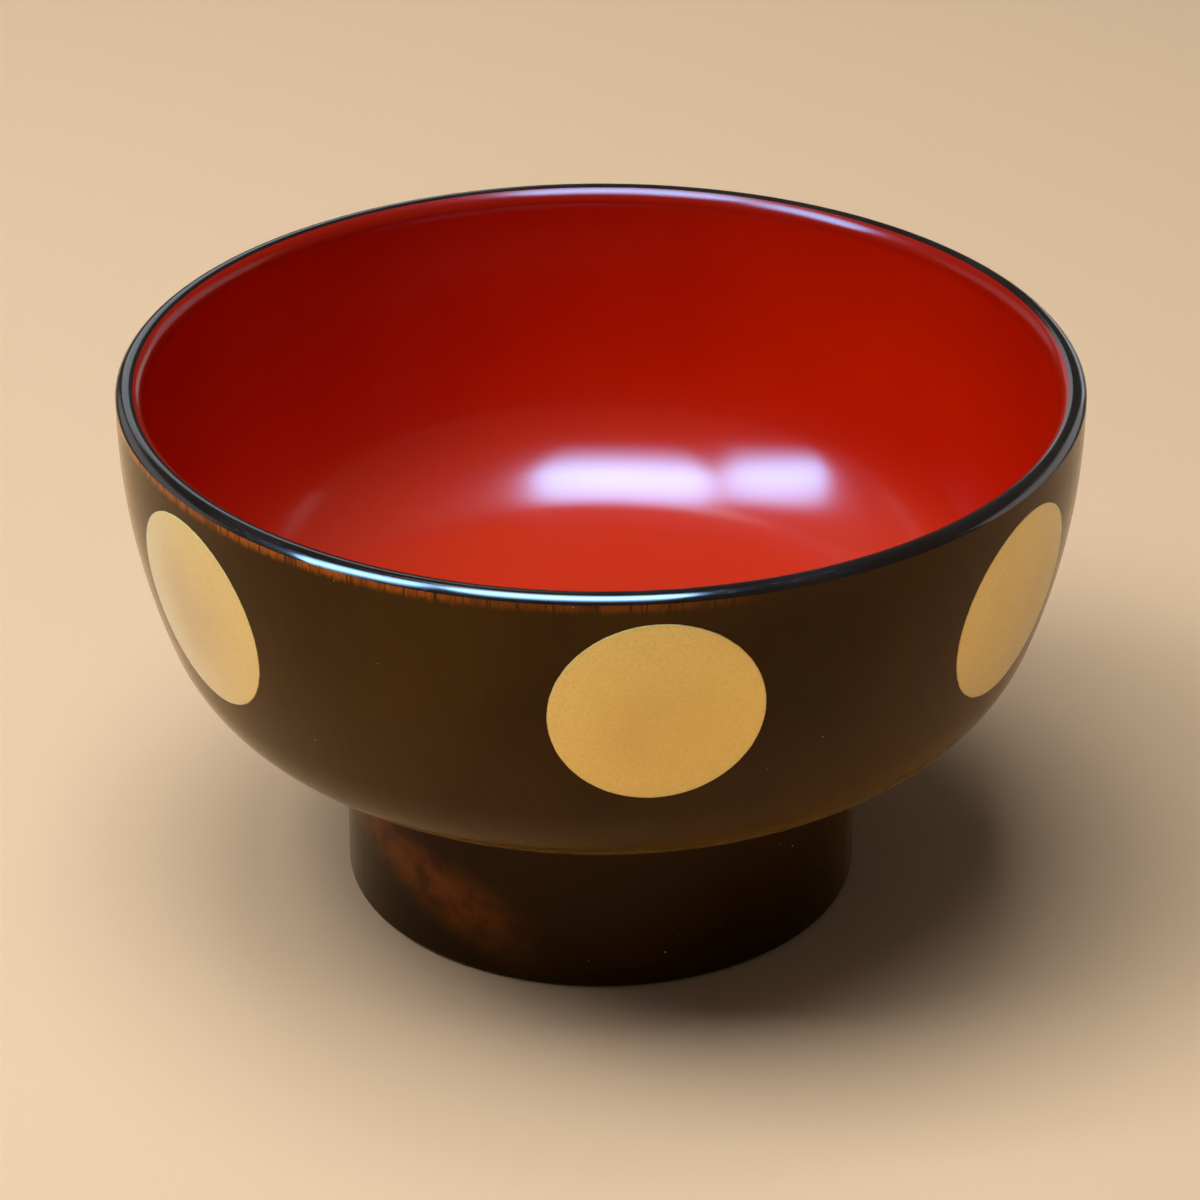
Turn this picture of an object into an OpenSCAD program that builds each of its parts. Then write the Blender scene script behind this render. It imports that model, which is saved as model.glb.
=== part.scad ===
// A footed bowl turned from one piece of wood, with lacquer coats and six gold discs.
// Millimetres. The sole of the foot is at z = 0, the turning axis is Z and the front is -Y.

/* [Bowl] */
// width across the lip
bowl_d = 120; // [112:1:130]
// height from the sole to the lip
bowl_h = 70; // [67:0.5:76]
// thickness of the wall, with its coats
wall_t = 3.4; // [2.8:0.1:4.4]
// upright stretch under the lip
upright_h = 3; // [2:0.5:5]
// side-view radius of the upper wall
wall_round = 85; // [76:1:100]
// angle that the upper wall turns through
wall_turn = 19.2; // [17:0.2:22]
// side-view radius of the outer hip
hip_round = 21; // [19:0.5:23]
// angle at which the hip runs into the underside
hip_turn = 62; // [58:0.5:68]
// side-view radius of the underside
under_round = 60; // [50:1:90]

/* [Inside] */
// side-view radius of the floor
floor_round = 250; // [150:5:400]
// thickness from the floor to the hollow of the foot
floor_t = 6.5; // [4:0.5:12]

/* [Lip] */
// rounding of the inner edge of the wood
lip_in_round = 1.6; // [0.8:0.1:2]
// angle that the outer edge turns through
lip_turn = 61; // [45:1:80]
// angle inside the crest at which the red meets the black
red_turn = 22; // [10:1:40]

/* [Foot] */
// width across the foot
foot_d = 66; // [60:0.5:67]
// hollow curve between the foot and the underside
foot_fillet = 3.5; // [2:0.1:6]
// rounding of the outer edge of the wooden sole
foot_edge_round = 0.4; // [0.1:0.05:1]
// thickness of the foot ring
ring_t = 4; // [3.2:0.1:6]
// rounding in the top corner of the hollow
well_round = 5; // [2:0.5:8]
// rounding of the inner edge of the wooden sole
well_edge_round = 0.4; // [0.1:0.05:1]

/* [Coats] */
// thickness of the lacquer
coat_t = 0.4; // [0.2:0.05:0.6]
// thickness of the gold
gold_t = 0.15; // [0.1:0.01:0.3]

/* [Gold discs] */
// width of a disc
disc_d = 25.3; // [20:0.1:26]
// distance of the disc centres below the lip
disc_drop = 16; // [15:0.1:18]
// turn of the front disc from the front, towards +X
front_turn = 6.3; // [-15:0.1:15]
// angle from the front disc to the next one towards -X
left_gap = 61.6; // [50:0.1:70]
// angle from the front disc to the next one towards +X
right_gap = 51.4; // [50:0.1:70]

/* [Hidden] */
// steps in the round of the turned pieces
$fn = 180;
// steps along the wall, the hips, the floor and the small roundings
wall_n = 8;
hip_n = 12;
floor_n = 5;
edge_n = 5;

bowl_r = bowl_d / 2;
// finished roundings, with the coat over the wood
lip_in_r = lip_in_round + coat_t;
lip_out_r = (wall_t - lip_in_r) / sin(lip_turn);
foot_edge_r = foot_edge_round + coat_t;
well_edge_r = well_edge_round + coat_t;
// centres of the lip's two roundings, both under its crest
crest_r = bowl_r - wall_t + lip_in_r;
lip_in_c = [crest_r, bowl_h - lip_in_r];
lip_out_c = [crest_r, bowl_h - lip_out_r];

// centres of the outer curves, as [radius, height]
wall_c = [bowl_r - wall_round, bowl_h - upright_h];
hip_c = wall_c + (wall_round - hip_round) * [cos(wall_turn), -sin(wall_turn)];
under_c = hip_c + (hip_round - under_round) * [cos(hip_turn), -sin(hip_turn)];
foot_r = foot_d / 2;
// the hollow curve touches both the underside and the side of the foot
under_turn = acos((foot_r + foot_fillet - under_c[0]) / (under_round + foot_fillet));
fillet_c = under_c + (under_round + foot_fillet) * [cos(under_turn), -sin(under_turn)];
edge_c = [foot_r - foot_edge_r, foot_edge_r];

// inner curves, about the same centres as the outer ones
inner_wall_round = wall_round - wall_t;
inner_hip_round = hip_round - wall_t;
// angle at which the inner hip runs into the floor
floor_turn = acos(hip_c[0] / (floor_round - inner_hip_round));
floor_c = [0, hip_c[1] + (floor_round - inner_hip_round) * sin(floor_turn)];
floor_z = floor_c[1] - floor_round;

// hollow of the foot
well_r = foot_r - ring_t;
well_z = floor_z - floor_t;
well_c = [well_r - well_round, well_z - well_round];
well_edge_c = [well_r + well_edge_r, well_edge_r];

// centre and slope of a disc on the upper wall
disc_slope = asin((disc_drop - upright_h) / wall_round);
disc_c = wall_c + wall_round * [cos(disc_slope), -sin(disc_slope)];
disc_half = 1.4 * asin(disc_d / bowl_d);
// the discs at the back share the rest of the round evenly
back_gap = (360 - left_gap - right_gap) / 4;

// points along an arc about c, from angle a to angle b
function arc(c, r, a, b, n, first = 0) =
    [for (i = [first:n]) c + r * [cos(a + (b - a) * i / n), sin(a + (b - a) * i / n)]];

function flip(p) = [for (i = [len(p) - 1:-1:0]) p[i]];

// the points between the two ends
function between(p) = [for (i = [1:len(p) - 2]) p[i]];

// angle at which the lip meets the wall, both moved outwards by g
function lip_end(g) = asin((bowl_r + g - crest_r) / (lip_out_r + g));

// lip from the red to the wall, moved outwards by g
function lip(g) = concat(
    arc(lip_in_c, lip_in_r + g, 90 + red_turn, 90, edge_n),
    arc(lip_out_c, lip_out_r + g, 90, 90 - lip_end(g), edge_n, 1)
);

// wall and hip below the lip, moved outwards by g
function side(g) = concat(
    arc(lip_out_c, lip_out_r + g, 90, 90 - lip_end(g), 1, 1),
    arc(wall_c, wall_round + g, 0, -wall_turn, wall_n),
    arc(hip_c, hip_round + g, -wall_turn, -hip_turn, hip_n, 1)
);

// the whole outside from the lip to the sole, moved outwards by g
function outside(g) = concat(
    side(g),
    arc(under_c, under_round + g, -hip_turn, -under_turn, edge_n, 1),
    arc(fillet_c, foot_fillet - g, 180 - under_turn, 180, edge_n, 1),
    arc(edge_c, foot_edge_r + g, 0, -90, edge_n)
);

// inside from the lip to the middle of the floor, moved into the wood by g
function inside(g) = concat(
    arc(lip_in_c, lip_in_r - g, 90 + red_turn, 180, edge_n),
    arc(wall_c, inner_wall_round + g, 0, -wall_turn, wall_n),
    arc(hip_c, inner_hip_round + g, -wall_turn, -floor_turn, hip_n, 1),
    arc(floor_c, floor_round + g, -floor_turn, -90, floor_n, 1)
);

// hollow of the foot from the sole to its middle, moved into the wood by g
function well(g) = concat(
    arc(well_edge_c, well_edge_r - g, 270, 180, edge_n),
    arc(well_c, well_round + g, 0, 90, edge_n),
    [[0, well_z + g]]
);

// turned wooden body with its foot
module wood_core() {
    color([0.62, 0.42, 0.24])
    rotate_extrude()
    polygon(concat(
        inside(coat_t),
        flip(well(coat_t)),
        flip(outside(-coat_t)),
        flip(between(lip(-coat_t)))
    ));
}

// red lacquer over the inside, up to the lip
module red_coat() {
    color([0.6, 0.07, 0.03])
    rotate_extrude()
    polygon(concat(inside(0), flip(inside(coat_t))));
}

// black lacquer over the lip
module lip_coat() {
    color([0.05, 0.05, 0.06])
    rotate_extrude()
    polygon(concat(lip(0), flip(lip(-coat_t))));
}

// brown lacquer over the outside, from the lip to the edge of the sole
module brown_coat() {
    color([0.25, 0.17, 0.09])
    rotate_extrude()
    polygon(concat(outside(0), flip(outside(-coat_t))));
}

// lacquer on the sole, the ring that the bowl stands on
module sole_coat() {
    color([0.08, 0.06, 0.05])
    rotate_extrude()
    translate([well_edge_c[0], 0])
    square([edge_c[0] - well_edge_c[0], coat_t]);
}

// lacquer in the hollow of the foot
module well_coat() {
    color([0.08, 0.06, 0.05])
    rotate_extrude()
    polygon(concat(well(0), flip(well(coat_t))));
}

// gold laid on the brown wall, round when seen square to the wall
module gold_disc(turn) {
    color([0.8, 0.61, 0.3])
    rotate([0, 0, turn - 90])
    intersection() {
        rotate_extrude(angle = 2 * disc_half, start = -disc_half)
        polygon(concat(side(0), flip(side(gold_t))));
        translate([disc_c[0], 0, disc_c[1]])
        rotate([0, 90 + disc_slope, 0])
        cylinder(h = disc_d, d = disc_d, center = true);
    }
}

module disc_front() {
    gold_disc(front_turn);
}

module disc_right() {
    gold_disc(front_turn + right_gap);
}

module disc_back_right() {
    gold_disc(front_turn + right_gap + back_gap);
}

module disc_back() {
    gold_disc(front_turn + right_gap + 2 * back_gap);
}

module disc_back_left() {
    gold_disc(front_turn - left_gap - back_gap);
}

module disc_left() {
    gold_disc(front_turn - left_gap);
}

wood_core();
red_coat();
lip_coat();
brown_coat();
sole_coat();
well_coat();
disc_front();
disc_right();
disc_back_right();
disc_back();
disc_back_left();
disc_left();
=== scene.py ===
# %% [markdown]
# # A lacquered bowl with gold discs
# The bowl is turned from wood and coated: red inside, clear brown outside, black on the lip, with plain
# gold discs on the wall. The solid model is the frame, and every visible coat is made again here, finer
# and with its own finish. We load the frame first.

# %% Load the frame
import math
import random

import bmesh
import bpy
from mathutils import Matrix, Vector


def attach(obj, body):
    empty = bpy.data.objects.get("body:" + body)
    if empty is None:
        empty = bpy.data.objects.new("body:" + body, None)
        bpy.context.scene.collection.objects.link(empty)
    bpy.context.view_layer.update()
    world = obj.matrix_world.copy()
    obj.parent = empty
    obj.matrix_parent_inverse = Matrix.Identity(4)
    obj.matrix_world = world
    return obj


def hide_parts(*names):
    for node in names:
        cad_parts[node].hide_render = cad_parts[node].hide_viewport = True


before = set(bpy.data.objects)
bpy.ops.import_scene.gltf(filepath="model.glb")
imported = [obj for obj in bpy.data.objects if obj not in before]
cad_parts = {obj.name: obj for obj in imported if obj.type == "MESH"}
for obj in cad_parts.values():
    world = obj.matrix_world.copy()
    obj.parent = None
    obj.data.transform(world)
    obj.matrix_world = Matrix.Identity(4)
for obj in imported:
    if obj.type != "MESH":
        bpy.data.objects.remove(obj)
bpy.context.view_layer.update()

scene = bpy.context.scene
print("solids in the frame:", sorted(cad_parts))

# %% [markdown]
# ## Camera
# The bowl is seen from above the lip with a long lens, so its ellipses are nearly parallel. The lens
# could be guessed by eye, but the lip, the foot and the discs together fix it, and only these values
# put all of them in place. Places are in metres, the lens and its sensor in millimetres.

# %% Camera
VIEW_HEIGHT = 0.29535
VIEW_DISTANCE = 0.47589
VIEW_ASIDE = -0.000125
VIEW_PITCH = 28.46
LENS_MM = 127.2
SENSOR_MM = 36
NEAREST_SEEN = 0.01

camera_data = bpy.data.cameras.new("front_camera")
camera_data.lens = LENS_MM
camera_data.sensor_width = SENSOR_MM
camera_data.clip_start = NEAREST_SEEN
camera = bpy.data.objects.new("front_camera", camera_data)
camera.location = (VIEW_ASIDE, -VIEW_DISTANCE, VIEW_HEIGHT)
camera.rotation_euler = (math.radians(90 - VIEW_PITCH), 0, 0)
scene.collection.objects.link(camera)
scene.camera = camera
scene.view_settings.view_transform = "Standard"
print("camera looks down by", VIEW_PITCH, "degrees")

# %% [markdown]
# ## The turned curves
# A turned bowl is one curve swept round an axis. The curves are arcs that run into each other without
# a corner, as a gouge leaves them. They could be drawn as splines, but arcs about shared centres keep
# the wall one thickness, and a coat is then the space between a curve and the same curve moved by g.
# Sizes are in millimetres, as radius and height.

# %% Sizes of the bowl
MM = 0.001
BOWL_R, BOWL_H, WALL_T = 60.0, 70.0, 3.4
UPRIGHT_H = 3.0
COAT_T, GOLD_T = 0.4, 0.15
WALL_ROUND, HIP_ROUND, UNDER_ROUND, FLOOR_ROUND = 85.0, 21.0, 60.0, 250.0
WALL_TURN, HIP_TURN = 19.2, 62.0
LIP_IN_R, LIP_TURN, RED_TURN = 2.0, 61.0, 22.0
FOOT_R, FOOT_FILLET, FOOT_EDGE_R = 33.0, 3.5, 0.8
RING_T, WELL_ROUND, WELL_EDGE_R, FLOOR_T = 4.0, 5.0, 0.8, 6.5
print("bowl", 2 * BOWL_R, "mm wide and", BOWL_H, "mm high")

# %% Arcs and chains of arcs
SAME_POINT = 1e-5


def step_from(centre, radius, angle):
    """The point at this angle below the horizontal, this far from the centre."""
    turn = math.radians(angle)
    return (centre[0] + radius * math.cos(turn), centre[1] - radius * math.sin(turn))


def arc(centre, radius, start, end, steps):
    """Points along an arc, from one angle to another."""
    return [step_from(centre, radius, start + (end - start) * i / steps) for i in range(steps + 1)]


def chain(*curves):
    """Curves one after the other, with each shared point once."""
    points = []
    for curve in curves:
        for p in curve:
            if not points or math.dist(points[-1], p) > SAME_POINT:
                points.append(p)
    return points


print("an arc of two steps has", len(arc((0, 0), 1, 0, 90, 2)), "points")

# %% Centres of the arcs
wall_c = (BOWL_R - WALL_ROUND, BOWL_H - UPRIGHT_H)
hip_c = step_from(wall_c, WALL_ROUND - HIP_ROUND, WALL_TURN)
under_c = step_from(hip_c, HIP_ROUND - UNDER_ROUND, HIP_TURN)
fillet_reach = UNDER_ROUND + FOOT_FILLET
under_turn = math.degrees(math.acos((FOOT_R + FOOT_FILLET - under_c[0]) / fillet_reach))
fillet_c = step_from(under_c, fillet_reach, under_turn)
edge_c = (FOOT_R - FOOT_EDGE_R, FOOT_EDGE_R)
inner_hip = HIP_ROUND - WALL_T
floor_reach = FLOOR_ROUND - inner_hip
floor_turn = math.degrees(math.acos(hip_c[0] / floor_reach))
floor_c = (0.0, hip_c[1] + floor_reach * math.sin(math.radians(floor_turn)))
floor_z = floor_c[1] - FLOOR_ROUND
well_z = floor_z - FLOOR_T
well_c = (FOOT_R - RING_T - WELL_ROUND, well_z - WELL_ROUND)
well_edge_c = (FOOT_R - RING_T + WELL_EDGE_R, WELL_EDGE_R)
crest_r = BOWL_R - WALL_T + LIP_IN_R
lip_out_r = (WALL_T - LIP_IN_R) / math.sin(math.radians(LIP_TURN))
lip_in_c = (crest_r, BOWL_H - LIP_IN_R)
lip_out_c = (crest_r, BOWL_H - lip_out_r)
print("floor of the bowl at", round(floor_z, 2), "mm, hollow of the foot to", round(well_z, 2), "mm")

# %% [markdown]
# ## The four curves
# One curve each for the lip, the outside, the inside and the hollow of the foot. An arc gets more steps
# where it turns quickly, because gloss shows every flat, and fewer where it is nearly straight.

# %% The four curves
LIP_STEPS = (8, 14)
OUTSIDE_STEPS = (16, 22, 8, 12, 8)
INSIDE_STEPS = (12, 16, 28, 12)
WELL_STEPS = (8, 14)


def lip_end(g):
    """Angle at which the lip meets the wall, both moved outwards by g."""
    return math.degrees(math.asin((BOWL_R + g - crest_r) / (lip_out_r + g)))


def lip_curve(g):
    """The black lip, from the red to the wall."""
    return chain(arc(lip_in_c, LIP_IN_R + g, -90 - RED_TURN, -90, LIP_STEPS[0]),
                 arc(lip_out_c, lip_out_r + g, -90, lip_end(g) - 90, LIP_STEPS[1]))


def outside_curve(g):
    """Wall, hip, underside and foot."""
    return chain(lip_curve(g)[-1:],
                 arc(wall_c, WALL_ROUND + g, 0, WALL_TURN, OUTSIDE_STEPS[0]),
                 arc(hip_c, HIP_ROUND + g, WALL_TURN, HIP_TURN, OUTSIDE_STEPS[1]),
                 arc(under_c, UNDER_ROUND + g, HIP_TURN, under_turn, OUTSIDE_STEPS[2]),
                 arc(fillet_c, FOOT_FILLET - g, under_turn - 180, -180, OUTSIDE_STEPS[3]),
                 arc(edge_c, FOOT_EDGE_R + g, 0, 90, OUTSIDE_STEPS[4]))


def inside_curve(g):
    """The red inside, from the lip to the middle of the floor."""
    return chain(arc(lip_in_c, LIP_IN_R - g, -90 - RED_TURN, -180, INSIDE_STEPS[0]),
                 arc(wall_c, WALL_ROUND - WALL_T + g, 0, WALL_TURN, INSIDE_STEPS[1]),
                 arc(hip_c, inner_hip + g, WALL_TURN, floor_turn, INSIDE_STEPS[2]),
                 arc(floor_c, FLOOR_ROUND + g, floor_turn, 90, INSIDE_STEPS[3]))


def well_curve(g):
    """The hollow of the foot, from the sole to its middle."""
    return chain(arc(well_edge_c, WELL_EDGE_R - g, 90, 180, WELL_STEPS[0]),
                 arc(well_c, WELL_ROUND + g, 0, -90, WELL_STEPS[1]),
                 [(0.0, well_z + g)])


for curve in (lip_curve, outside_curve, inside_curve, well_curve):
    print(curve.__name__, len(curve(0)), "points")

# %% [markdown]
# ## Turning a coat on the lathe
# Each coat is a thin closed shell. Blender's Screw modifier could sweep it, but it leaves doubled points
# on the axis, so the rings are joined by hand: a point on the axis becomes one vertex, every other point
# a ring. The outer curve goes down and the inner one comes back, so the shell has real thickness.

# %% Rings into a piece
SHARP_ANGLE = 40


def join_rings(builder, rings):
    """Faces between each ring and the next. A ring of one point closes into a fan."""
    steps = len(rings[0])
    for upper, lower in zip(rings, rings[1:]):
        for i in range(steps):
            j = (i + 1) % steps
            corners = list(dict.fromkeys((upper[i], upper[j], lower[j], lower[i])))
            if len(corners) > 2:
                builder.faces.new(corners)


def new_piece(name, builder):
    """Turns a finished bmesh into a named, smooth piece."""
    bmesh.ops.recalc_face_normals(builder, faces=builder.faces)
    mesh = bpy.data.meshes.new(name)
    builder.to_mesh(mesh)
    builder.free()
    mesh.polygons.foreach_set("use_smooth", [True] * len(mesh.polygons))
    mesh.set_sharp_from_angle(angle=math.radians(SHARP_ANGLE))
    piece = bpy.data.objects.new(name, mesh)
    scene.collection.objects.link(piece)
    return piece


print("edges over", SHARP_ANGLE, "degrees stay sharp")

# %% The lathe
ROUND_STEPS = 320
ON_AXIS = 1e-6


def turn_shell(name, outline):
    """Sweeps a closed outline of (radius, height) points round the Z axis."""
    shell = bmesh.new()
    turns = [2 * math.pi * i / ROUND_STEPS for i in range(ROUND_STEPS)]
    rings = []
    for r, z in outline:
        if r < ON_AXIS:
            rings.append([shell.verts.new((0, 0, z * MM))] * ROUND_STEPS)
        else:
            rings.append([shell.verts.new((r * MM * math.sin(t), -r * MM * math.cos(t), z * MM))
                          for t in turns])
    join_rings(shell, rings + rings[:1])
    piece = new_piece(name, shell)
    print(name, len(piece.data.polygons), "faces")
    return piece


def coat(name, curve, inwards):
    """A coat under a curve, as thick as the lacquer."""
    return turn_shell(name, curve(0) + curve(inwards)[::-1])


print("lathe with", ROUND_STEPS, "steps in the round")

# %% [markdown]
# ## The coats
# Red lacquer lines the inside, black covers the lip, and clear brown covers wall, underside and foot.
# The sole and the hollow of the foot have a dark coat of their own. They could be one skin with painted
# areas, but separate shells meet in crisp lines, as brushed coats do. Each piece takes the place of its
# plain solid and rides on the bowl's one body.

# %% Turn the coats
SOLE_ROWS = 6

red_lining = coat("red_lining", inside_curve, COAT_T)
lip_band = coat("lip_band", lip_curve, -COAT_T)
brown_skin = coat("brown_skin", outside_curve, -COAT_T)
hollow_lining = coat("hollow_lining", well_curve, COAT_T)
sole_in, sole_out = well_edge_c[0], edge_c[0]
sole_r = [sole_in + (sole_out - sole_in) * i / SOLE_ROWS for i in range(SOLE_ROWS + 1)]
sole_outline = [(r, 0.0) for r in sole_r] + [(r, COAT_T) for r in sole_r[::-1]]
foot_sole = turn_shell("foot_sole", sole_outline)

for piece, node, slot in ((red_lining, "red_coat", "red_lacquer"),
                          (lip_band, "lip_coat", "black_lacquer"),
                          (brown_skin, "brown_coat", "brown_lacquer"),
                          (hollow_lining, "well_coat", "foot_lacquer"),
                          (foot_sole, "sole_coat", "foot_lacquer")):
    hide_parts(node)
    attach(piece, "root")

# %% [markdown]
# ## The gold discs
# A disc is gold powder strewn on wet lacquer inside a round outline, so it is a thin film that follows
# the wall, with a soft, very slightly uneven edge. It could be painted in the brown's material, but then
# it would have no thickness to catch the light. Here a round grid is laid on the wall along the disc's
# own direction, and its rim is rounded down into the lacquer.

# %% Where a disc lies
DISC_R, DISC_DROP = 12.65, 16.0
LAYING_STEPS = 24
disc_slope = math.degrees(math.asin((DISC_DROP - UPRIGHT_H) / WALL_ROUND))


def disc_axes(turn):
    """A disc's middle on the wall, and its directions outwards, sideways and upwards."""
    t = math.radians(turn)
    out = Vector((math.sin(t), -math.cos(t), 0))
    along = Vector((math.cos(t), math.sin(t), 0))
    slope = math.radians(disc_slope)
    normal = out * math.cos(slope) - Vector((0, 0, math.sin(slope)))
    upward = out * math.sin(slope) + Vector((0, 0, math.cos(slope)))
    r, z = step_from(wall_c, WALL_ROUND, disc_slope)
    return out * r + Vector((0, 0, z)), normal, along, upward


def drop_on_wall(point, inwards, g):
    """Moves a point along a direction until it is g outside the wall. In millimetres."""
    for _ in range(LAYING_STEPS):
        beside = math.hypot(point.x, point.y) - wall_c[0]
        gap = math.hypot(beside, point.z - wall_c[1]) - WALL_ROUND - g
        point = point + inwards * gap
    return point


print("the wall leans by", round(disc_slope, 2), "degrees under a disc")

# %% How thick and how round a disc is
DISC_STEPS = 216
RIM_T, RIM_UNEVEN, RIM_GRAIN = 0.04, 0.06, 0.012
RIM_WAVES = (3, 5, 17, 29, 43, 61, 83)
WAVE_WEIGHTS = (0.3, 1.0)


def film_height(rho):
    """The gold is thickest in the middle and thins out towards its rim."""
    out = max(0.0, 2 * rho / DISC_R - 1)
    return RIM_T + (GOLD_T - RIM_T) * (1 - out * out * (3 - 2 * out))


def uneven_rim(rng):
    """A closed row of radii with fine, seeded unevenness."""
    waves = [(k, rng.uniform(0, 2 * math.pi), rng.uniform(*WAVE_WEIGHTS)) for k in RIM_WAVES]
    share = sum(w for _, _, w in waves)
    radii = []
    for i in range(DISC_STEPS):
        t = 2 * math.pi * i / DISC_STEPS
        wave = RIM_UNEVEN * sum(w * math.sin(k * t + p) for k, p, w in waves) / share
        radii.append(DISC_R + wave + rng.uniform(-RIM_GRAIN, RIM_GRAIN))
    return radii


print("gold", film_height(0), "mm thick in the middle and", film_height(DISC_R), "mm at the rim")

# %% Lay one disc
DISC_RINGS, RIM_ROWS, BACK_ROWS = 14, 6, 4
RIM_WIDTH, SUNK = 0.12, 0.012


def lay_disc(name, turn, seed):
    """One gold disc at this turn from the front."""
    middle, normal, along, upward = disc_axes(turn)
    rim = uneven_rim(random.Random(seed))
    inner = DISC_R - RIM_WIDTH - RIM_UNEVEN
    film = bmesh.new()
    depth = film.verts.layers.float.new("inwards")

    def set_down(flat, g, rho):
        """One vertex on the wall, which keeps how far in from the rim it lies."""
        vert = film.verts.new(drop_on_wall(flat, -normal, g) * MM)
        vert[depth] = max(0.0, 1 - rho / DISC_R)
        return vert

    def ring(radii, g):
        """A closed row of vertices at these distances from the middle."""
        verts = []
        for i, rho in enumerate(radii):
            a = 2 * math.pi * i / DISC_STEPS
            flat = middle + along * (rho * math.cos(a)) + upward * (rho * math.sin(a))
            verts.append(set_down(flat, g, rho))
        return verts

    def even_ring(rho, g):
        """A ring that is round."""
        return ring([rho] * DISC_STEPS, g)

    rings = [[set_down(middle, GOLD_T, 0.0)] * DISC_STEPS]
    for k in range(1, DISC_RINGS + 1):
        rho = inner * k / DISC_RINGS
        rings.append(even_ring(rho, film_height(rho)))
    for k in range(1, RIM_ROWS + 1):
        share = k / RIM_ROWS
        height = (film_height(inner) + SUNK) * (0.5 + 0.5 * math.cos(math.pi * share)) - SUNK
        rings.append(ring([inner + (edge - inner) * share for edge in rim], height))
    for k in range(BACK_ROWS, 0, -1):
        rings.append(even_ring(inner * k / BACK_ROWS, -SUNK))
    rings.append([set_down(middle, -SUNK, 0.0)] * DISC_STEPS)
    join_rings(film, rings)
    return new_piece(name, film)


print("a disc has", DISC_RINGS + RIM_ROWS, "rings in front and", BACK_ROWS, "behind")

# %% Lay all discs
DISC_TURNS = {"disc_front": 6.3, "disc_right": 57.7, "disc_back_right": 119.45,
              "disc_back": 181.2, "disc_back_left": -117.05, "disc_left": -55.3}

discs = []
for seed, (node, turn) in enumerate(DISC_TURNS.items(), start=1):
    disc = lay_disc("gold_" + node, turn, seed)
    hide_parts(node)
    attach(disc, "root")
    discs.append(disc)
print(len(discs), "discs of", len(discs[0].data.polygons), "faces")

# %% [markdown]
# ## Placing nodes
# Materials here are built from procedural nodes, so nothing has to be unwrapped. They could be wired by
# hand in the shader editor. A few small helpers do the same in code and keep it readable: one adds a node
# and joins its inputs, the others name the sums, ramps and blends that come back in every finish.

# %% Nodes and links
def place(tree, kind, inputs=None, **settings):
    """Adds a node. An input may be a value or another node's output."""
    node = tree.nodes.new(kind)
    for key, value in settings.items():
        setattr(node, key, value)
    for key, value in (inputs or {}).items():
        if isinstance(value, bpy.types.NodeSocket):
            tree.links.new(value, node.inputs[key])
        else:
            node.inputs[key].default_value = value
    return node


def join(tree, sockets, results):
    """Links each result to the socket of that name."""
    for name, value in results.items():
        tree.links.new(value, sockets[name])


print("helpers for nodes and links ready")

# %% Sums and ramps
def sums(tree, operation, a, b=0.0, c=None, clamp=False):
    """A Math node's result."""
    inputs = {0: a, 1: b} if c is None else {0: a, 1: b, 2: c}
    return place(tree, "ShaderNodeMath", inputs, operation=operation, use_clamp=clamp).outputs[0]


def times(tree, first, *others):
    """Values multiplied with each other."""
    for other in others:
        first = sums(tree, "MULTIPLY", first, other)
    return first


def add_up(tree, base, *parts):
    """A base value plus each mask times its amount."""
    for mask, amount in parts:
        base = sums(tree, "MULTIPLY_ADD", mask, amount, base)
    return base


def ramp(tree, value, low, high, out_low=0.0, out_high=1.0):
    """A smooth step of a value, from low to high."""
    inputs = {"Value": value, "From Min": low, "From Max": high, "To Min": out_low, "To Max": out_high}
    return place(tree, "ShaderNodeMapRange", inputs, interpolation_type="SMOOTHSTEP").outputs["Result"]


print("helpers for sums and ramps ready")

# %% Noise and blended colours
MIX_SHARE, MIX_FIRST, MIX_SECOND, MIX_RESULT = 0, 6, 7, 2


def noise(tree, inputs, dimensions="3D"):
    """A soft noise between about 0.2 and 0.8."""
    return place(tree, "ShaderNodeTexNoise", inputs, noise_dimensions=dimensions).outputs["Fac"]


def blend_colours(tree, share, first, second):
    """A mix of two colours."""
    inputs = {MIX_SHARE: share, MIX_FIRST: first, MIX_SECOND: second}
    return place(tree, "ShaderNodeMix", inputs, data_type="RGBA").outputs[MIX_RESULT]


def tint(tree, base, colour, mask, most):
    """Moves a colour towards another where the mask is high, by at most this share."""
    return blend_colours(tree, sums(tree, "MULTIPLY", mask, most), base, colour)


print("helpers for noise and colours ready")

# %% Groups
FLOAT, VECTOR = "NodeSocketFloat", "NodeSocketVector"


def start_group(name, takes, gives):
    """A node group with its named sockets, and its two end nodes."""
    group = bpy.data.node_groups.new(name, "ShaderNodeTree")
    for socket, kind, value in takes:
        made = group.interface.new_socket(socket, in_out="INPUT", socket_type=kind)
        if value is not None:
            made.default_value = value
    for socket, kind in gives:
        group.interface.new_socket(socket, in_out="OUTPUT", socket_type=kind)
    print("group:", name)
    return group, group.nodes.new("NodeGroupInput").outputs, group.nodes.new("NodeGroupOutput").inputs


def use(tree, group, inputs=None):
    """Places a finished group and returns its outputs."""
    return place(tree, "ShaderNodeGroup", inputs, node_tree=group).outputs


print("helpers for groups ready")

# %% [markdown]
# ## Where a point lies on the bowl
# Marks on turned work follow the turning: they lie at a height, or at an angle round the bowl. Unwrapping
# the meshes could give such places too, but it tears the pattern at a seam. This group turns a point of
# the surface into millimetres, an angle from the front and a length round the wall, and every finish
# starts from it.

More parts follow.
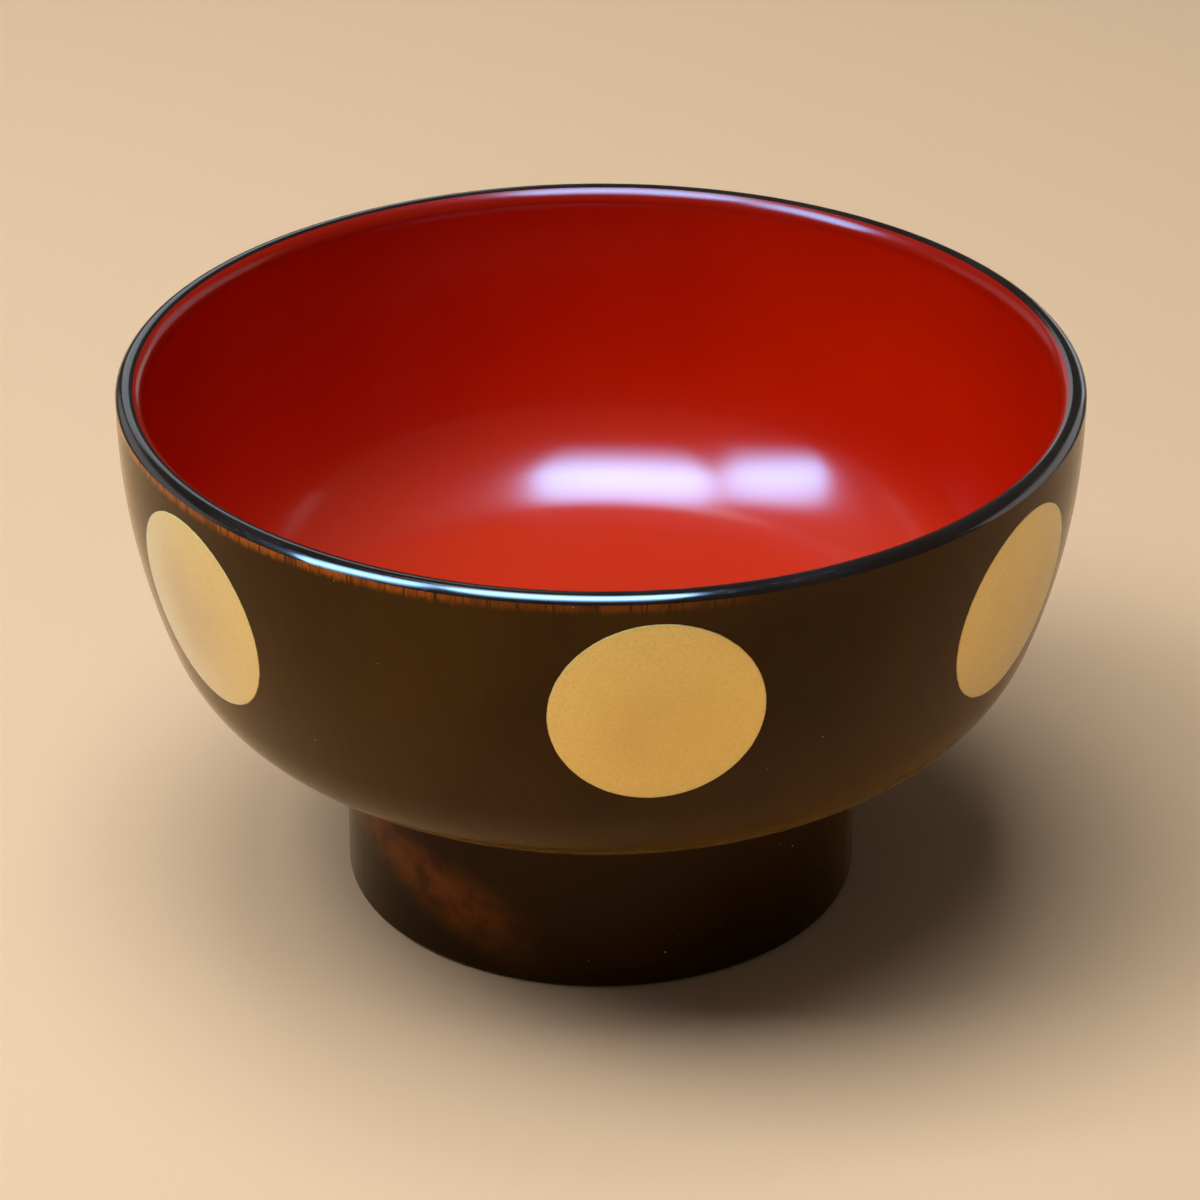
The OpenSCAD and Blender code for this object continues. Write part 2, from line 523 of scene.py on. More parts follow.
# %% Group: place on the bowl
place_group, _, out = start_group("place on the bowl", [], [
    ("Point", VECTOR), ("Angle", FLOAT), ("Round", FLOAT), ("Height", FLOAT), ("Radius", FLOAT)])
tree = place_group
here = place(tree, "ShaderNodeTexCoord").outputs["Object"]
point = place(tree, "ShaderNodeVectorMath", {0: here, "Scale": 1 / MM}, operation="SCALE").outputs[0]
axes = place(tree, "ShaderNodeSeparateXYZ", {0: point}).outputs
angle = sums(tree, "DEGREES", sums(tree, "ARCTAN2", axes[0], sums(tree, "MULTIPLY", axes[1], -1.0)))
flat = place(tree, "ShaderNodeCombineXYZ", {0: axes[0], 1: axes[1]}).outputs[0]
radius = place(tree, "ShaderNodeVectorMath", {0: flat}, operation="LENGTH").outputs["Value"]
length_round = sums(tree, "MULTIPLY", angle, math.radians(1) * BOWL_R)
join(tree, out, {"Point": point, "Angle": angle, "Round": length_round,
                 "Height": axes[2], "Radius": radius})

# %% [markdown]
# ## Dust under the lacquer
# A few grains of dust settle on every wet coat and stay as pale specks. They could be modelled one by
# one. A cell pattern gives each grain its own place instead, and only a small share of the cells keeps
# one, so the specks look strewn, not ruled.

# %% Group: dust specks
SPECK_LEAST, SPECK_SPREAD, SPECK_EDGE = 0.35, 0.9, 0.5

dust_group, take, out = start_group(
    "dust specks", [("Point", VECTOR, None), ("Spacing", FLOAT, 4.0), ("Size", FLOAT, 0.1),
                    ("Share", FLOAT, 0.1)], [("Mask", FLOAT)])
tree = dust_group
per_mm = sums(tree, "DIVIDE", 1.0, take["Spacing"])
cells = place(tree, "ShaderNodeTexVoronoi", {"Vector": take["Point"], "Scale": per_mm, "Randomness": 1.0})
away = sums(tree, "MULTIPLY", cells.outputs["Distance"], take["Spacing"])
lot = place(tree, "ShaderNodeSeparateColor", {0: cells.outputs["Color"]}).outputs
kept = sums(tree, "LESS_THAN", lot[0], take["Share"])
size = sums(tree, "MULTIPLY", take["Size"], sums(tree, "MULTIPLY_ADD", lot[1], SPECK_SPREAD, SPECK_LEAST))
near = sums(tree, "SUBTRACT", 1.0, sums(tree, "DIVIDE", away, size), clamp=True)
join(tree, out, {"Mask": times(tree, ramp(tree, near, 0.0, SPECK_EDGE), kept)})

# %% [markdown]
# ## Wiping marks
# Washing and drying leave hairlines that run round the bowl. A noise that is stretched along the
# turning gives long thin ridges, and a second noise breaks them into short lengths.

# %% Group: hairlines
BREAKS_SCALE, BREAKS_LOW, BREAKS_HIGH = 2.3, 0.55, 0.66

hair_group, take, out = start_group(
    "hairlines", [("Round", FLOAT, 0.0), ("Height", FLOAT, 0.0), ("Length", FLOAT, 9.0),
                  ("Apart", FLOAT, 1.4), ("Width", FLOAT, 0.05)], [("Mask", FLOAT)])
tree = hair_group
lengthways = sums(tree, "DIVIDE", take["Round"], take["Length"])
crossways = sums(tree, "DIVIDE", take["Height"], take["Apart"])
grid = place(tree, "ShaderNodeCombineXYZ", {0: lengthways, 1: crossways}).outputs[0]
lines = noise(tree, {"Vector": grid, "Scale": 1.0, "Detail": 1.0})
ridge = sums(tree, "ABSOLUTE", sums(tree, "SUBTRACT", lines, 0.5))
thin = ramp(tree, ridge, take["Width"], 0.0)
breaks = noise(tree, {"Vector": grid, "Scale": BREAKS_SCALE, "Detail": 0.0})
join(tree, out, {"Mask": times(tree, thin, ramp(tree, breaks, BREAKS_LOW, BREAKS_HIGH))})

# %% [markdown]
# ## The flow of brushed lacquer
# Lacquer is brushed on and levels out, which leaves very low, broad waves. They show only in the edges
# of reflections, so the group gives a height for a bump and a slow tone for the colour.

# %% Group: lacquer flow
SLOW_SHARE, SLOW_SEED = 0.35, 7.0
TONE_LOW, TONE_HIGH = 0.3, 0.7

flow_group, take, out = start_group(
    "lacquer flow", [("Point", VECTOR, None), ("Wave", FLOAT, 9.0), ("Seed", FLOAT, 0.0)],
    [("Height", FLOAT), ("Tone", FLOAT)])
tree = flow_group
broad_scale = sums(tree, "DIVIDE", 1.0, take["Wave"])
slow_scale = sums(tree, "DIVIDE", SLOW_SHARE, take["Wave"])
slow_seed = sums(tree, "ADD", take["Seed"], SLOW_SEED)
broad = noise(tree, {"Vector": take["Point"], "W": take["Seed"], "Scale": broad_scale, "Detail": 1.5}, "4D")
slow = noise(tree, {"Vector": take["Point"], "W": slow_seed, "Scale": slow_scale, "Detail": 3.0}, "4D")
join(tree, out, {"Height": broad, "Tone": slow})

# %% [markdown]
# ## The wood's figure
# The blank is cut from the side of a trunk, so its year rings run as nearly flat sheets through the
# bowl, with fine pores along them. Bands bent by a slow noise give the rings, and a noise drawn out
# along the fibres gives the pores. The bare wood and the clear brown coat both use it.

# %% Group: wood figure
BEND_SCALE, SHEET_LEAN = 0.028, 0.35
LATE_FROM, LATE_FULL, LATE_ENDS = 0.25, 0.92, 0.93
FIBRE_SCALE = (3.2, 0.22, 3.2)
PORES_LOW, PORES_HIGH = 0.58, 0.70

wood_group, take, out = start_group(
    "wood figure", [("Point", VECTOR, None), ("Ring", FLOAT, 3.2), ("Bend", FLOAT, 5.0)],
    [("Rings", FLOAT), ("Pores", FLOAT)])
tree = wood_group
bend = noise(tree, {"Vector": take["Point"], "Scale": BEND_SCALE, "Detail": 2.0})
parts = place(tree, "ShaderNodeSeparateXYZ", {0: take["Point"]}).outputs
leaning = sums(tree, "MULTIPLY_ADD", parts[2], SHEET_LEAN, parts[0])
across = sums(tree, "ADD", leaning, times(tree, bend, sums(tree, "MULTIPLY", take["Bend"], take["Ring"])))
saw = sums(tree, "FRACT", sums(tree, "DIVIDE", across, take["Ring"]))
late = times(tree, ramp(tree, saw, LATE_FROM, LATE_FULL), ramp(tree, saw, 1.0, LATE_ENDS))
stretch = {0: take["Point"], 1: FIBRE_SCALE}
drawn = place(tree, "ShaderNodeVectorMath", stretch, operation="MULTIPLY").outputs[0]
fibre = noise(tree, {"Vector": drawn, "Scale": 1.0, "Detail": 2.0})
join(tree, out, {"Rings": late, "Pores": ramp(tree, fibre, PORES_LOW, PORES_HIGH)})

# %% [markdown]
# ## Lacquer as a shader
# A cured coat is a clear gloss over a colour. The Principled shader can make gloss in two places, on its
# own face and on a coat layer above it. The red uses the coat layer, because its weight can change over
# the surface, and the other lacquers use the shader's own face. Numbers that are the same all over are
# set on the shader itself.

# %% Start a material
def start_material(name, **constants):
    """A material with a Principled shader. Constants go on its sockets."""
    material = bpy.data.materials.new(name)
    material.use_nodes = True
    tree = material.node_tree
    tree.nodes.clear()
    shader = tree.nodes.new("ShaderNodeBsdfPrincipled")
    end = tree.nodes.new("ShaderNodeOutputMaterial")
    tree.links.new(shader.outputs[0], end.inputs["Surface"])
    for socket, value in constants.items():
        shader.inputs[socket.replace("_", " ")].default_value = value
    print("finish:", name)
    return material, tree, shader


def bump(tree, shader, height, depth_mm):
    """Feeds a height of about this many millimetres to the shader's normal."""
    node = place(tree, "ShaderNodeBump", {"Strength": 1.0, "Distance": depth_mm * MM, "Height": height})
    tree.links.new(node.outputs[0], shader.inputs["Normal"])


def put_on(material, *pieces):
    """Gives pieces this one material."""
    for piece in pieces:
        piece.data.materials.clear()
        piece.data.materials.append(material)


print("helpers for materials ready")

# %% [markdown]
# ## Red lacquer
# The inside is a warm red, ground in lacquer and rubbed to a soft gloss. One even gloss all over would be
# simpler, but floor and wall are duller than the hip between them, which carries the highlights. So the
# gloss comes from the coat layer alone, and its weight falls on the floor and on the wall. Lower down the
# red is painted paler and pinker as sheen, and towards the lip it is painted darker as shade.

# %% Red lacquer: colours
RED_DEEP, RED_BRIGHT = (0.47, 0.0105, 0.0001, 1), (0.53, 0.0140, 0.0002, 1)
RED_PAINTED_SHEEN, RED_LIP_SHADE = (0.51, 0.037, 0.0140, 1), (0.16, 0.004, 0.0005, 1)
RED_DUST = (0.55, 0.12, 0.07, 1)
SHEEN_FROM, SHEEN_FULL = 44.0, 29.5
LIP_SHADE_FROM, LIP_SHADE_FULL = 66.8, 69.4

material, tree, shader = start_material("red_lacquer", IOR=1.02, Coat_IOR=1.5, Coat_Roughness=0.17)
spot = use(tree, place_group)
flow = use(tree, flow_group, {"Point": spot["Point"], "Wave": 11.0, "Seed": 1.0})
hair = use(tree, hair_group, {"Round": spot["Round"], "Height": spot["Radius"], "Length": 12.0,
                              "Apart": 1.1, "Width": 0.012})
dust = use(tree, dust_group, {"Point": spot["Point"], "Spacing": 3.0, "Size": 0.09, "Share": 0.12})
tone = ramp(tree, flow["Tone"], TONE_LOW, TONE_HIGH)
# painted sheen: the red is painted paler and pinker lower down, towards the floor
floor_sheen = ramp(tree, spot["Height"], SHEEN_FROM, SHEEN_FULL)
# painted shade: the red is painted darker towards the lip
lip_shade = ramp(tree, spot["Height"], LIP_SHADE_FROM, LIP_SHADE_FULL, 0.0, 0.62)
red = blend_colours(tree, tone, RED_DEEP, RED_BRIGHT)
red = tint(tree, red, RED_PAINTED_SHEEN, floor_sheen, 0.85)
red = blend_colours(tree, lip_shade, red, RED_LIP_SHADE)
red = tint(tree, red, RED_DUST, dust["Mask"], 0.35)
print("red paler below", SHEEN_FROM, "mm and darker above", LIP_SHADE_FROM, "mm")

# %% Red lacquer: gloss
DULL_FLOOR_FROM, DULL_FLOOR_FULL = 43.4, 37.4
DULL_WALL_FROM, DULL_WALL_FULL = 38.0, 52.0
GLOSSY_LIP_FROM, GLOSSY_LIP_FULL = 67.0, 68.6

dull_floor = ramp(tree, spot["Radius"], DULL_FLOOR_FROM, DULL_FLOOR_FULL, 0.0, 0.95)
dull_upwards = ramp(tree, spot["Height"], DULL_WALL_FROM, DULL_WALL_FULL, 0.0, 0.92)
glossy_lip = ramp(tree, spot["Height"], GLOSSY_LIP_FROM, GLOSSY_LIP_FULL, 0.0, 0.58)
dull_wall = sums(tree, "SUBTRACT", dull_upwards, glossy_lip)
polish = sums(tree, "SUBTRACT", 1.0, sums(tree, "ADD", dull_floor, dull_wall), clamp=True)
polish = times(tree, polish, ramp(tree, flow["Height"], 0.2, 0.8, 0.92, 1.0))
rough = add_up(tree, 0.34, (hair["Mask"], 0.04), (tone, 0.06))
join(tree, shader.inputs, {"Base Color": red, "Roughness": rough, "Coat Weight": polish})
bump(tree, shader, add_up(tree, flow["Height"], (dust["Mask"], 0.4)), 0.012)
put_on(material, red_lining)
print("red duller within", DULL_FLOOR_FROM, "mm of the axis and above", DULL_WALL_FROM, "mm")

# %% [markdown]
# ## Black lacquer
# The lip is strengthened with a black coat that is polished by use, so it mirrors the lamps as a sharp
# line. Only fine rubbing keeps it from being a perfect mirror. A coat layer could carry this gloss too,
# but a coat that is glossy all over needs only the shader's own face, with a high index.

# %% Black lacquer
BLACK_DEEP, BLACK_PALE = (0.004, 0.004, 0.005, 1), (0.010, 0.009, 0.009, 1)

material, tree, shader = start_material("black_lacquer", IOR=1.84, Specular_Tint=(1.0, 0.72, 0.62, 1))
spot = use(tree, place_group)
flow = use(tree, flow_group, {"Point": spot["Point"], "Wave": 4.0, "Seed": 2.0})
hair = use(tree, hair_group, {"Round": spot["Round"], "Height": spot["Radius"], "Length": 5.0,
                              "Apart": 0.35, "Width": 0.05})
tone = ramp(tree, flow["Tone"], TONE_LOW, TONE_HIGH)
black = blend_colours(tree, tone, BLACK_DEEP, BLACK_PALE)
rough = add_up(tree, 0.10, (tone, 0.05), (hair["Mask"], 0.12))
join(tree, shader.inputs, {"Base Color": black, "Roughness": rough})
bump(tree, shader, flow["Height"], 0.004)
put_on(material, lip_band)

# %% [markdown]
# ## Clear brown lacquer
# The outside is a dark coat with a golden sheen that lets a little of the wood through. Just under the
# lip the coat is thin, and the wood glows orange in a narrow strip with dark pores across it. On the left
# of the foot a warm, mottled, slanted patch is blended in, and lower down the brown is painted darker as
# shade under the bowl. Real layers of see-through lacquer could do this, but they render slowly and
# don't export, so masks blend the wood's colours into the brown.

# %% Brown lacquer: the strip under the lip
BAND_Z = lip_curve(0)[-1][1]
STRIP_LEAST, STRIP_SPREAD = 0.50, 0.6
STRIP_GONE, STRIP_FULL = 1.65, 0.35
TICKS_LOW, TICKS_HIGH = 0.60, 0.70

material, tree, shader = start_material(
    "brown_lacquer", IOR=1.16, Sheen_Weight=0.28, Sheen_Roughness=0.35, Sheen_Tint=(1.0, 0.58, 0.14, 1))
spot = use(tree, place_group)


def noise_round(scale, detail):
    """A noise that changes only round the bowl."""
    return noise(tree, {"W": spot["Round"], "Scale": scale, "Detail": detail}, "1D")


below = sums(tree, "SUBTRACT", BAND_Z, spot["Height"])
ragged = noise_round(1.1, 2.0)
reach = sums(tree, "MULTIPLY_ADD", ragged, STRIP_SPREAD, STRIP_LEAST)
strip = ramp(tree, sums(tree, "DIVIDE", below, reach), STRIP_GONE, STRIP_FULL)
ticks = ramp(tree, noise_round(3.0, 3.0), TICKS_LOW, TICKS_HIGH)
print("strip of wood starts at", round(BAND_Z, 2), "mm")

# %% Brown lacquer: how the strip comes and goes
# middle of each stretch and how far from it the strip ends and is full, in degrees, then its strength
FRONT_BRIGHT, FRONT_FAINT = (-46.0, 44.0, 22.0), (-26.0, 48.0, 32.0, 0.42)
BACK_BRIGHT = (140.0, 60.0, 20.0)
LENGTHS_PER_MM = 0.26
LENGTH_ENDS, LENGTH_FULL = 0.055, 0.105


def near_angle(middle, none_at, full_at, most=1.0):
    """A mask round one direction, in degrees from the front."""
    away = sums(tree, "ABSOLUTE", sums(tree, "SUBTRACT", spot["Angle"], middle))
    return ramp(tree, away, none_at, full_at, 0.0, most)


front_share = sums(tree, "MAXIMUM", near_angle(*FRONT_BRIGHT), near_angle(*FRONT_FAINT))
back_share = near_angle(*BACK_BRIGHT)
come_and_go = ramp(tree, noise_round(0.30, 3.0), 0.34, 0.56, 0.35, 1.0)
share = times(tree, sums(tree, "MAXIMUM", front_share, back_share), come_and_go)
lengths = place(tree, "ShaderNodeTexVoronoi", {"W": spot["Round"], "Scale": LENGTHS_PER_MM},
                voronoi_dimensions="1D", feature="DISTANCE_TO_EDGE").outputs["Distance"]
joined = ramp(tree, add_up(tree, lengths, (ragged, 0.10)), LENGTH_ENDS, LENGTH_FULL)
strip = times(tree, strip, share, joined)
print("strip strongest at", FRONT_BRIGHT[0], "and", BACK_BRIGHT[0], "degrees from the front")

# %% Brown lacquer: the patch on the foot
SLANT_PER_MM, SLANT_TURN = 5.5, 20.0
SLANT_WIDE, SLANT_FULL = 38.0, 2.0
PATCH_TOP, PATCH_FULL = 19.0, 14.0
PATCH_LEFT, PATCH_RIGHT = (-95.0, -65.0), (-10.0, -34.0)

# a warm, mottled, slanted patch on the left of the foot
turned = sums(tree, "SUBTRACT", spot["Angle"], SLANT_TURN)
slant = sums(tree, "MULTIPLY_ADD", spot["Height"], SLANT_PER_MM, turned)
patch = times(tree, ramp(tree, sums(tree, "ABSOLUTE", slant), SLANT_WIDE, SLANT_FULL),
              ramp(tree, spot["Height"], PATCH_TOP, PATCH_FULL),
              ramp(tree, spot["Angle"], *PATCH_RIGHT),
              ramp(tree, spot["Angle"], *PATCH_LEFT))
mottle = noise(tree, {"Vector": spot["Point"], "Scale": 0.30, "Detail": 3.0})
patch = times(tree, patch, ramp(tree, mottle, 0.32, 0.62, 0.4, 1.0))
print("patch of wood between", PATCH_LEFT[0], "and", PATCH_RIGHT[0], "degrees from the front")

# %% Brown lacquer: colours and gloss
BROWN_DEEP, BROWN_PALE = (0.042, 0.0182, 0.0023, 1), (0.078, 0.0335, 0.0042, 1)
BROWN_RINGS, BROWN_SHADE_BELOW = (0.026, 0.0115, 0.0024, 1), (0.012, 0.0060, 0.0016, 1)
GLOW, GLOW_PORES, GLOW_TICKS = (0.43, 0.104, 0.008, 1), (0.25, 0.052, 0.004, 1), (0.05, 0.012, 0.002, 1)
WARM_PATCH, BROWN_DUST = (0.215, 0.060, 0.0110, 1), (0.52, 0.45, 0.34, 1)
SHADE_BELOW_FROM, SHADE_BELOW_FULL = 27.0, 17.0

figure = use(tree, wood_group, {"Point": spot["Point"], "Ring": 3.0, "Bend": 6.0})
flow = use(tree, flow_group, {"Point": spot["Point"], "Wave": 14.0, "Seed": 3.0})
dust = use(tree, dust_group, {"Point": spot["Point"], "Spacing": 1.6, "Size": 0.13, "Share": 0.07})
hair = use(tree, hair_group, {"Round": spot["Round"], "Height": spot["Height"], "Length": 7.0,
                              "Apart": 1.6, "Width": 0.02})
brown = blend_colours(tree, ramp(tree, flow["Tone"], TONE_LOW, TONE_HIGH), BROWN_DEEP, BROWN_PALE)
brown = tint(tree, brown, BROWN_RINGS, figure["Rings"], 0.07)
glow = blend_colours(tree, figure["Pores"], GLOW, GLOW_PORES)
glow = blend_colours(tree, ticks, glow, GLOW_TICKS)
brown = blend_colours(tree, strip, brown, glow)
# painted shade: the brown is painted darker lower down, under the bowl's hip and on the foot
shade_below = ramp(tree, spot["Height"], SHADE_BELOW_FROM, SHADE_BELOW_FULL, 0.0, 0.6)
brown = blend_colours(tree, shade_below, brown, BROWN_SHADE_BELOW)
brown = tint(tree, brown, WARM_PATCH, patch, 0.9)
brown = tint(tree, brown, BROWN_DUST, dust["Mask"], 0.8)
rough = add_up(tree, 0.12, (flow["Tone"], 0.06), (hair["Mask"], 0.10))
join(tree, shader.inputs, {"Base Color": brown, "Roughness": rough})
bump(tree, shader, add_up(tree, flow["Height"], (dust["Mask"], 0.5)), 0.014)
put_on(material, brown_skin)
print("brown coat on the wall, the underside and the foot")

# %% [markdown]
# ## Foot lacquer
# The sole and the hollow of the foot have the same dark coat, seen only when the bowl is turned over.
# The sole is rubbed where the bowl stands, so it is duller and its high spots show brown. Two materials
# would do, but the wear keeps to the lowest half millimetre, so one serves for both.

# %% Foot lacquer
FOOT_DEEP, FOOT_PALE = (0.008, 0.005, 0.003, 1), (0.018, 0.010, 0.005, 1)
FOOT_WORN, FOOT_DUST = (0.085, 0.045, 0.020, 1), (0.30, 0.26, 0.20, 1)
WEAR_FROM, WEAR_FULL = 0.5, 0.05
RUB_LOW, RUB_HIGH = 0.42, 0.62

material, tree, shader = start_material("foot_lacquer", IOR=1.52)
spot = use(tree, place_group)
flow = use(tree, flow_group, {"Point": spot["Point"], "Wave": 8.0, "Seed": 4.0})
hair = use(tree, hair_group, {"Round": spot["Round"], "Height": spot["Radius"], "Length": 6.0,
                              "Apart": 0.8, "Width": 0.05})
dust = use(tree, dust_group, {"Point": spot["Point"], "Spacing": 4.0, "Size": 0.12, "Share": 0.10})
tone = ramp(tree, flow["Tone"], TONE_LOW, TONE_HIGH)
rub = noise(tree, {"Vector": spot["Point"], "Scale": 0.8, "Detail": 5.0})
worn = times(tree, ramp(tree, spot["Height"], WEAR_FROM, WEAR_FULL), ramp(tree, rub, RUB_LOW, RUB_HIGH))
dark = blend_colours(tree, tone, FOOT_DEEP, FOOT_PALE)
dark = tint(tree, dark, FOOT_WORN, worn, 0.6)
dark = tint(tree, dark, FOOT_DUST, dust["Mask"], 0.5)
rough = add_up(tree, 0.16, (tone, 0.08), (hair["Mask"], 0.15), (worn, 0.25))
join(tree, shader.inputs, {"Base Color": dark, "Roughness": rough})
bump(tree, shader, flow["Height"], 0.014)
put_on(material, hollow_lining, foot_sole)

# %% [markdown]
# ## Powder gold
# The discs are gold powder, bound in lacquer and rubbed, so they are metal but matt. Each grain catches
# the light a little differently. A picture of powder could be laid on, but a cell pattern of grains a
# little over a tenth of a millimetre wide stays sharp at any distance. A slow noise gives the uneven
# strewing, and painted shade darkens the middle of each disc with it. The rim, where the film runs
# out, is slightly darker and rougher.

# %% Powder gold
GOLD_DEEP, GOLD_PALE = (0.81, 0.568, 0.158, 1), (0.90, 0.657, 0.212, 1)
GOLD_CLOUD_SHADE, GOLD_RIM = (0.62, 0.385, 0.095, 1), (0.50, 0.34, 0.13, 1)
GRAINS_PER_MM = 7.0
MIDDLE_SHADE_FROM, MIDDLE_SHADE_FULL = 0.10, 0.85
RIM_TINT, RIM_ROUGH = (0.014, 0.002), (0.015, 0.003)

material, tree, shader = start_material(
    "powder_gold", Metallic=1.0, Sheen_Weight=0.60, Sheen_Roughness=0.5, Sheen_Tint=(0.72, 0.88, 1.0, 1))
spot = use(tree, place_group)
flow = use(tree, flow_group, {"Point": spot["Point"], "Wave": 5.0, "Seed": 5.0})
grains = place(tree, "ShaderNodeTexVoronoi", {"Vector": spot["Point"], "Scale": GRAINS_PER_MM}).outputs
lot = place(tree, "ShaderNodeSeparateColor", {0: grains["Color"]}).outputs
inwards = place(tree, "ShaderNodeAttribute", attribute_name="inwards",
                attribute_type="GEOMETRY").outputs["Fac"]
# uneven strewing from the noise, and painted shade: darker towards each disc's middle
cloud_and_shade = times(tree, ramp(tree, flow["Tone"], TONE_HIGH, TONE_LOW, 0.3, 1.0),
              ramp(tree, inwards, MIDDLE_SHADE_FROM, MIDDLE_SHADE_FULL, 0.0, 0.50))
gold = blend_colours(tree, lot[0], GOLD_DEEP, GOLD_PALE)
gold = blend_colours(tree, cloud_and_shade, gold, GOLD_CLOUD_SHADE)
gold = tint(tree, gold, GOLD_RIM, ramp(tree, inwards, *RIM_TINT), 0.35)
rough = add_up(tree, 0.42, (lot[1], 0.12), (ramp(tree, inwards, *RIM_ROUGH), 0.30))
join(tree, shader.inputs, {"Base Color": gold, "Roughness": rough})
bump(tree, shader, add_up(tree, flow["Height"], (lot[2], 0.6)), 0.005)
put_on(material, *discs)

# %% [markdown]
# ## Bare wood
# The wooden body lies under the coats and keeps the solid model's own mesh. A plain brown would do for
# something hidden, but it still gets its figure, for anyone who takes a coat off to look.

# %% Bare wood
WOOD_EARLY, WOOD_LATE, WOOD_PORES = (0.52, 0.30, 0.13, 1), (0.33, 0.16, 0.06, 1), (0.17, 0.08, 0.03, 1)

material, tree, shader = start_material("turned_wood")
spot = use(tree, place_group)
figure = use(tree, wood_group, {"Point": spot["Point"]})
wood = blend_colours(tree, figure["Rings"], WOOD_EARLY, WOOD_LATE)
wood = tint(tree, wood, WOOD_PORES, figure["Pores"], 0.5)
rough = add_up(tree, 0.55, (figure["Pores"], 0.15))
join(tree, shader.inputs, {"Base Color": wood, "Roughness": rough})
bump(tree, shader, figure["Pores"], -0.03)
put_on(material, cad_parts["wood_core"])

# %% [markdown]
# ## The floor
# The bowl stands on a plain, pale, warm floor. It is only the stage, so it has no figure and no gloss,
# and it is wide enough to fill the picture from every side.

# %% Floor
FLOOR_SIZE = 6.0
FLOOR_CELLS = 8
FLOOR_COLOUR = (0.81, 0.615, 0.43, 1)

plate = bmesh.new()
bmesh.ops.create_grid(plate, x_segments=FLOOR_CELLS, y_segments=FLOOR_CELLS, size=FLOOR_SIZE / 2)
floor_mesh = bpy.data.meshes.new("floor")
plate.to_mesh(floor_mesh)
plate.free()
floor = bpy.data.objects.new("floor", floor_mesh)
scene.collection.objects.link(floor)
material, tree, shader = start_material(
    "pale_floor", Roughness=0.7, Specular_IOR_Level=0.0, Base_Color=FLOOR_COLOUR)
put_on(material, floor)
print("floor", FLOOR_SIZE, "m square")

# %% [markdown]
# ## Light
# Two soft lamps light the bowl, one overhead and one at the left. One panel each could do it, but then
# the length of a highlight and the level of the colours couldn't be set apart. So two fill panels light
# the colours and don't show in gloss, and seven shine panels show only in gloss. Two of these make the
# long highlights side by side in the red, four faint ones show on the lip and the wall, as the pale walls
# of a room would, and a small warm one hangs behind. A weak even light fills the rest.

# %% Panels
FILL_WHITE, LAMP_BLUE, ROOM_BLUE = (1.0, 0.98, 0.95), (0.21, 0.54, 1.0), (0.78, 0.90, 1.0)

# name, centre in metres, width, depth, radiance, colour, lean and turn in degrees
PANELS = (
    ("fill_overhead", (-0.055, -0.06, 1.0), 0.48, 0.70, 5.2, FILL_WHITE, 0, 0),
    ("fill_left", (-0.69, -0.19, 1.06), 0.64, 0.60, 8.1, FILL_WHITE, 0, 0),
    ("shine_overhead", (-0.055, 0.25, 1.166), 0.442, 1.86, 43.0, LAMP_BLUE, 48.7, 0),
    ("shine_left", (-0.92, 0.03, 1.447), 1.083, 2.25, 39.0, LAMP_BLUE, 59, 9),
    ("shine_far_left", (-0.53, 2.29, 0.93), 0.95, 0.90, 1.15, (0.68, 0.86, 1.0), -70, 13),
    ("shine_far_right", (1.05, 2.25, 0.33), 0.75, 0.55, 1.25, (0.72, 0.88, 1.0), -84, -25),
    ("shine_right", (1.29, 0.81, 0.54), 1.60, 0.95, 0.9, ROOM_BLUE, -73, -58),
    ("shine_side", (-1.29, 0.81, 0.54), 1.60, 0.95, 0.60, ROOM_BLUE, -73, 58),
    ("shine_back", (-0.17, 0.56, 1.30), 0.36, 0.30, 2.5, (1.0, 0.90, 0.80), -24, 13),
)

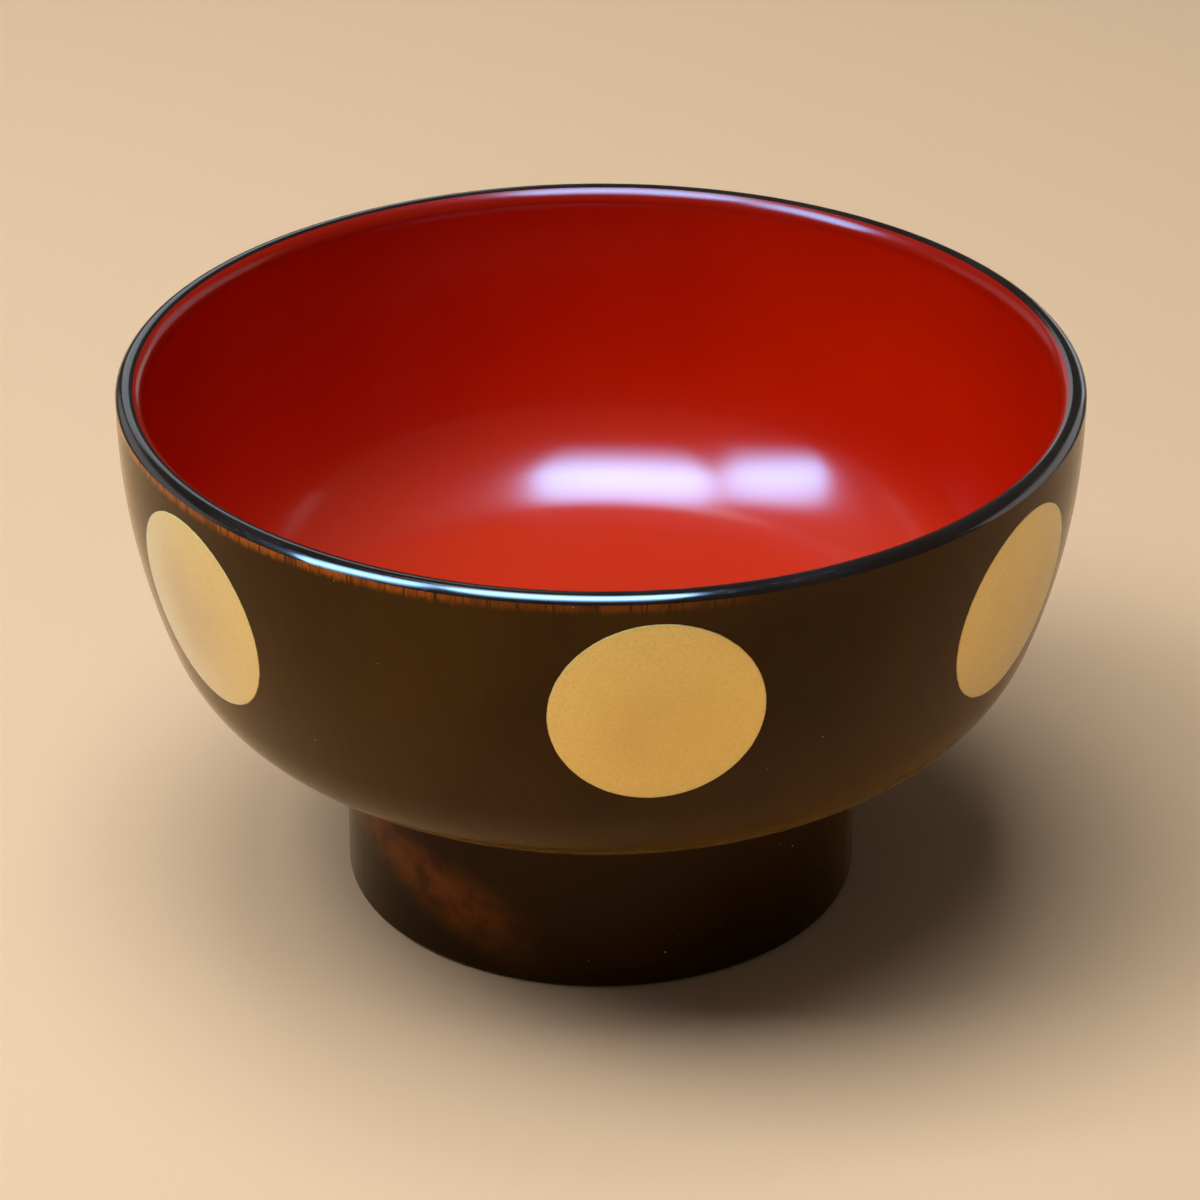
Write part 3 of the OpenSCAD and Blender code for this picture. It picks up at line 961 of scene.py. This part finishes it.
# shares of a panel: where it is full behind its front end and where it starts to fade towards its back
# end, how much fades at each side, and how much its front corners are rounded
FADES = {
    "shine_overhead": (0.225, 0.12, 0.09, 0.10),
    "shine_left": (0.245, 0.10, 0.12, 0.07),
    "shine_right": (0.30, 0.70, 0.05, 0.0),
    "shine_side": (0.30, 0.70, 0.05, 0.0),
    "shine_back": (0.45, 0.55, 0.05, 0.0),
}
print(len(PANELS), "panels,", len(FADES), "of them with soft ends")

# %% Hang the panels
def hang_panel(name, centre, wide, deep, radiance, colour, lean, turn):
    """A soft panel that faces down, then leans back and turns round the vertical."""
    lamp = bpy.data.lights.new(name, "AREA")
    lamp.shape = "RECTANGLE"
    lamp.size, lamp.size_y = wide, deep
    lamp.energy = radiance * math.pi * wide * deep
    lamp.color = colour
    holder = bpy.data.objects.new(name, lamp)
    holder.location = centre
    holder.rotation_euler = (math.radians(lean), 0, math.radians(turn))
    holder.visible_camera = False
    scene.collection.objects.link(holder)
    return holder


def fade_ends(holder, rise, fall, side, corner):
    """Lets a panel fade towards its ends and sides, as a soft box does."""
    holder.data.use_nodes = True
    tree = holder.data.node_tree
    across = place(tree, "ShaderNodeNewGeometry").outputs["Parametric"]
    aside, along, _ = place(tree, "ShaderNodeSeparateXYZ", {0: across}).outputs
    off_middle = sums(tree, "ABSOLUTE", sums(tree, "SUBTRACT", aside, 0.5))
    off_middle = sums(tree, "ADD", off_middle, ramp(tree, along, rise, 0.0, 0.0, corner))
    level = times(tree, ramp(tree, along, 0.0, rise), ramp(tree, along, 1.0, fall),
                  ramp(tree, off_middle, 0.50, 0.50 - side))
    tree.links.new(level, tree.nodes["Emission"].inputs["Strength"])


for name, *measures in PANELS:
    holder = hang_panel(name, *measures)
    if name.startswith("fill"):
        holder.visible_glossy = False
    else:
        holder.visible_diffuse = False
    if name in FADES:
        fade_ends(holder, *FADES[name])
    print(name, "hangs", round(holder.location.z, 2), "m up")

# %% Even light
ROOM_COLOUR, ROOM_LEVEL = (1.0, 0.88, 0.72, 1), 0.09

world = bpy.data.worlds.new("studio")
scene.world = world
world.use_nodes = True
background = world.node_tree.nodes["Background"]
background.inputs["Color"].default_value = ROOM_COLOUR
background.inputs["Strength"].default_value = ROOM_LEVEL
print("even light at", ROOM_LEVEL)
